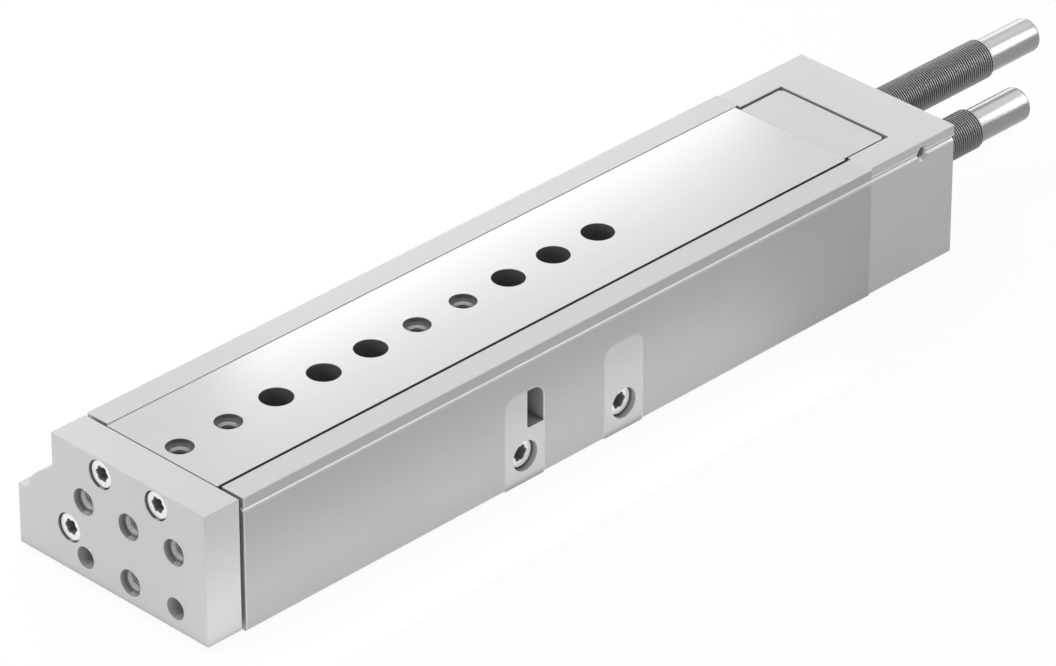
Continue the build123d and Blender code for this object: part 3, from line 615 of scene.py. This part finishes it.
# %% Hole threads
# All in millimetres: where each lining starts, and how thick it is
TABLE_HOLES = [(x, 0.0, 44.9) for x in (20.0, 0.0, -80.0, -100.0)]
YOKE_HOLES = [(39.2, y, z) for y, z in ((-19.5, 29.2), (0.5, 29.2), (20.5, 29.2), (0.5, 9.2))]
BASE_HOLES = [(x, 0.0, 2.9) for x in (0.0, -200.0)]
PORTS = [(x, -50.3, 16.8) for x in (-180.3, -2.8)]
LINING, LINING_RIDGE = 0.03, 0.27  # thickness at the root, and height of the ridges
# Each kind: name, places, direction, radius of the wall, length, pitch, slot and body
linings = [("table_threads", TABLE_HOLES, UP, 2.49, 9.0, 1.0, "ground_steel", "table"),
           ("yoke_threads", YOKE_HOLES, FORWARD, 2.49, 11.1, 1.0, "plate_aluminium", "table"),
           ("base_threads", BASE_HOLES, DOWN, 2.49, 9.0, 1.0, "body_aluminium", "housing"),
           ("port_threads", PORTS, LEFT, 4.39, 8.6, 0.907, "body_aluminium", "housing")]
for name, places, direction, wall, length, pitch, slot, body in linings:
    tube = bmesh.new()
    threaded_tube(tube, length * MM, (wall - LINING) * MM, -LINING_RIDGE * MM, wall * MM, pitch * MM,
                  slices=36)
    # The table's threads get the dark metal of painted shade.
    lining = piece_from(tube, name, slot, [turned_to(place, direction) for place in places], body,
                        finish=shaded_thread if name == "table_threads" else cut_thread)
    print(name, "in", len(places), "holes,", len(lining.data.polygons), "faces")

# %% [markdown]
# ## Six-lobed socket screws
# The bright screw heads have a six-lobed socket, a bevelled rim and a thread on the shank. A boolean cut
# would do, but rings do it cleaner: each ring has the same number of points, the ones in the socket follow
# the lobes, and the rest are round. Bridging ring to ring gives one closed screw. The socket's faces get a
# dark metal as their second material: painted shade for the inside of the socket.

# %% Screw mesh
# All in millimetres, apart from the shares
WAIST, SWELL = 0.79, 0.21                               # the lobes' inner radius and their rise, shares
SOCKET = 0.58                                           # radius of the socket, a share of the head's
SOCKET_RINGS = ((0.92, 3.4), (0.94, 0.3), (1.02, 0.0))  # share of the socket's radius, and depth
SOCKET_DEPTH = 3.8                                      # at the middle of the floor
RIM, HEAD_BEVEL, SIDE_RING = 0.80, 0.15, 0.5            # flat ring (a share), bevel, ring below it
CREST, ROOT, TIP = 0.03, 0.35, 0.8                      # how far the shank's thread and tip stand back
TURN, LAST_TURN, TAPER = 1.0, 1.2, 0.4                  # between two ridges, free at the end, tip's length


def lobed(work, radius, height, slices):
    """A ring whose radius swells six times, as the socket's outline does."""
    ring = []
    for step in range(slices):
        angle = 2 * math.pi * step / slices
        out = radius * (WAIST + SWELL * abs(math.cos(3 * angle)))
        ring.append(work.verts.new((out * math.cos(angle), out * math.sin(angle), height)))
    return ring


def lobed_screw(head, shank, head_length, length, slices=72):
    """A screw with the top of its head at the origin. Head and shank are radii."""
    work = bmesh.new()
    end = head_length + length
    rings = [lobed(work, head * SOCKET * r * MM, -z * MM, slices) for r, z in SOCKET_RINGS]
    rims = [(head * RIM, 0.0), (head - HEAD_BEVEL, 0.0), (head, HEAD_BEVEL), (head, SIDE_RING),
            (head, head_length), (shank - CREST, head_length)]
    depth = head_length + TURN
    while depth < end - LAST_TURN:
        rims += [(shank - ROOT, depth), (shank - CREST, depth + TURN / 2)]
        depth += TURN
    rims += [(shank - ROOT, end - TAPER), (shank - TIP, end)]
    rings += [circle_points(work, r * MM, -z * MM, slices) for r, z in rims]
    for lower, upper in zip(rings, rings[1:]):
        bridge(work, lower, upper)
    floor = work.verts.new((0.0, 0.0, -SOCKET_DEPTH * MM))
    tip = work.verts.new((0.0, 0.0, -end * MM))
    for middle, ring in ((floor, rings[0]), (tip, rings[-1])):
        for step in range(slices):
            work.faces.new((middle, ring[step], ring[(step + 1) % slices]))
    inside = set(rings[0] + rings[1] + rings[2] + [floor])
    for face in work.faces:
        if all(corner in inside for corner in face.verts):
            face.material_index = 1
    bmesh.ops.recalc_face_normals(work, faces=work.faces)
    return work


print("screw tools ready")

# %% [markdown]
# ## The screws at their places
# Eleven screws hold the yoke, the rod, the tail, the inserts and the cap. Each kind stands where the CAD's
# plain screws are, which are hidden here.

# %% Screws
# Each kind: places of the heads, direction, sizes for lobed_screw, and body. All in millimetres.
SCREWS = {
    "yoke_screws": ([(41.3, y, 42.4) for y in (-11.6, 13.1)], FORWARD, (4.7, 2.5, 5.0, 30.0), "table"),
    "rod_screw": ([(41.3, -26.6, 16.8)], FORWARD, (4.7, 2.5, 5.0, 24.0), "table"),
    "tail_screws": ([(-268.6, y, 41.0) for y in (-12.0, 12.0)], BACKWARD, (4.7, 2.5, 5.0, 26.0), "table"),
    "block_screws": ([(x, 32.2, 9.5) for x in (-92.7, -136.65)], RIGHT, (5.0, 3.0, 5.0, 16.0), "housing"),
    "cap_screws": ([(-283.1, y, z) for y in (-29.0, 29.0) for z in (8.0, 27.0)], BACKWARD,
                   (3.5, 2.0, 4.0, 40.0), "housing"),
}
for node, (places, direction, sizes, body) in SCREWS.items():
    screws = piece_from(lobed_screw(*sizes), node + "_lobed", "screw_steel",
                        [turned_to(place, direction) for place in places], body, limit=25.0)
    # The sockets get the dark metal, a painted shade.
    screws.data.materials.append(shaded_socket)
    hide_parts(node)
    low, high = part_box(node)
    print(screws.name, "at x", round(low.x / MM, 1), "to", round(high.x / MM, 1), "mm,",
          len(screws.data.polygons), "faces")

# %% [markdown]
# ## Light
# The body stands in a plain white studio. A large box above and a smaller one at the left light the tops, one
# in front lights the yoke plate, and a low strip beside the long side gives it its slow gradient. These four
# fill in without being mirrored. A soft box at the front right reaches the yoke and the long side alike. A
# box behind the body and a slim one beside the table draw the sheen on the ground face. Two small reflectors
# stand close to the dampers: one draws the white band along the polished tubes, the other their bright upper
# edge, and both only show as reflections. The lamps stay at a plain level, so that a colour renders about as
# it is written.

# %% Lamps
FILLER, REFLECTOR = "visible_glossy", "visible_diffuse"  # what each kind of lamp leaves out
MIDDLE, DAMPERS = (-0.13, 0.0, 0.03), (-0.365, 0.0, 0.03)


def soft_lamp(name, place, aim, size, power, *left_out):
    """A rectangular lamp that the camera does not see. Its size is in metres and its power in watts."""
    light = bpy.data.lights.new(name, "AREA")
    light.shape = "RECTANGLE"
    light.size, light.size_y = size
    light.energy = power
    lamp = bpy.data.objects.new(name, light)
    lamp.location = place
    lamp.rotation_euler = (Vector(aim) - Vector(place)).to_track_quat("-Z", "Y").to_euler()
    for rays in ("visible_camera", *left_out):
        setattr(lamp, rays, False)
    bpy.context.scene.collection.objects.link(lamp)


soft_lamp("top", (0.0, -0.3, 1.4), MIDDLE, (1.2, 1.2), 4.8, FILLER)
soft_lamp("left_near", (-0.13, -0.34, 0.30), (-0.13, 0.0, 0.04), (0.34, 0.12), 0.55, FILLER)
soft_lamp("front_near", (0.25, -0.16, 0.21), (0.04, -0.02, 0.03), (0.16, 0.12), 0.41, FILLER)
soft_lamp("side_front", (0.28, 0.36, 0.16), (0.0, 0.03, 0.03), (0.2, 0.2), 0.17)
soft_lamp("table_sheen", (-0.28, -0.17, 0.147), (-0.28, -0.06, 0.045), (0.26, 0.05), 0.045)
soft_lamp("ceiling_back", (-1.15, -0.15, 1.05), (-0.34, 0.0, 0.03), (0.9, 0.9), 3.4)
soft_lamp("side_strip", (-0.03, 0.066, 0.005), (-0.03, 0.034, 0.005), (0.36, 0.008), 0.040, FILLER)
soft_lamp("damper_band", (-0.456, 0.09, 0.108), DAMPERS, (0.10, 0.10), 0.13, REFLECTOR)
soft_lamp("damper_crown", (-0.42, -0.085, 0.062), DAMPERS, (0.07, 0.05), 0.026, REFLECTOR)

# %% [markdown]
# ## World
# The world fills what the lamps leave. To the camera and in mirrors it is a white room whose walls are a
# little darker between the white horizon and the white ceiling, because polished metal only looks like metal
# when it has something to mirror. To matt surfaces it is an even fill at half strength.

# %% World
WORLD_FILL = 0.5
# Height of a direction, from the horizon at 0 to straight up at 1, and brightness
WALLS = [(0.0, 1.0), (0.1, 1.0), (0.3, 0.5), (0.5, 0.72), (0.75, 1.0)]
world = bpy.data.worlds.new("studio")
bpy.context.scene.world = world
world.use_nodes = True
sky = world.node_tree
fill = sky.nodes["Background"]
fill.inputs["Color"].default_value = (1.0, 1.0, 1.0, 1.0)
fill.inputs["Strength"].default_value = WORLD_FILL
where = add_node(sky, "ShaderNodeTexCoord")
walls = add_node(sky, "ShaderNodeBackground", {"Strength": 1.0})
join(sky, ramp(sky, axes_of(sky, where.outputs["Generated"])["Z"], WALLS), walls.inputs["Color"])
rays = add_node(sky, "ShaderNodeLightPath").outputs
seen = fed_node(sky, "ShaderNodeMath", rays["Is Camera Ray"], rays["Is Transmission Ray"],
                operation="MAXIMUM")
mirrored = fed_node(sky, "ShaderNodeMath", seen, rays["Is Glossy Ray"], operation="MAXIMUM")
choice = fed_node(sky, "ShaderNodeMixShader", mirrored, fill.outputs[0], walls.outputs[0])
join(sky, choice, sky.nodes["World Output"].inputs["Surface"])
print("world fill", fill.inputs["Strength"].default_value)

# %% [markdown]
# ## Floor
# The floor is a plain pale sheet under the body. Seen by the camera it glows at white, like the paper of a
# catalogue page, and a share of its own shading is left in, so a faint shadow still grounds the body.

# %% Floor
FLOOR_SIZE, FLOOR_DROP = 8.0, 0.0005
GLOW_SHARE = 0.93
bpy.ops.mesh.primitive_plane_add(size=FLOOR_SIZE, location=(-0.13, 0.0, cad_bounds[0][2] - FLOOR_DROP))
floor = bpy.context.object
floor.name = "floor"
paper, sheet, matt = new_material("paper")
matt.inputs["Base Color"].default_value = (0.9, 0.9, 0.9, 1.0)
matt.inputs["Roughness"].default_value = 0.9
glow = add_node(sheet, "ShaderNodeEmission", {"Color": (1, 1, 1, 1), "Strength": 1.0})
rays = add_node(sheet, "ShaderNodeLightPath").outputs
direct = fed_node(sheet, "ShaderNodeMath", rays["Is Camera Ray"], rays["Is Glossy Ray"],
                  operation="MAXIMUM")
share = add_node(sheet, "ShaderNodeMath", {1: GLOW_SHARE}, operation="MULTIPLY")
join(sheet, direct, share.inputs[0])
blend = fed_node(sheet, "ShaderNodeMixShader", share.outputs[0], matt.outputs[0], glow.outputs[0])
join(sheet, blend, sheet.nodes["Material Output"].inputs["Surface"])
floor.data.materials.append(paper)
print("floor at z", round(floor.location.z / MM, 2), "mm")

# %% [markdown]
# ## Camera
# The picture was taken from the front right, well above the table, with a long lens. The place, direction and
# lens were worked out from the straight edges of the body, so the render lines up with it.

# %% Camera
CAMERA_PLACE, CAMERA_AIM = (1.2302, 1.3473, 1.1782), (-0.60807, -0.60288, -0.51652)
FOCAL_LENGTH, SENSOR_WIDTH = 241.77, 36.0  # in millimetres
lens = bpy.data.cameras.new("camera")
lens.sensor_width = SENSOR_WIDTH
lens.lens = FOCAL_LENGTH
lens.clip_end = 50.0
camera = bpy.data.objects.new("camera", lens)
camera.location = CAMERA_PLACE
camera.rotation_euler = Vector(CAMERA_AIM).to_track_quat("-Z", "Y").to_euler()
bpy.context.scene.collection.objects.link(camera)
bpy.context.scene.camera = camera
bpy.context.scene.view_settings.view_transform = "Standard"
print("camera", [round(c, 3) for c in camera.location], "lens", lens.lens, "mm")
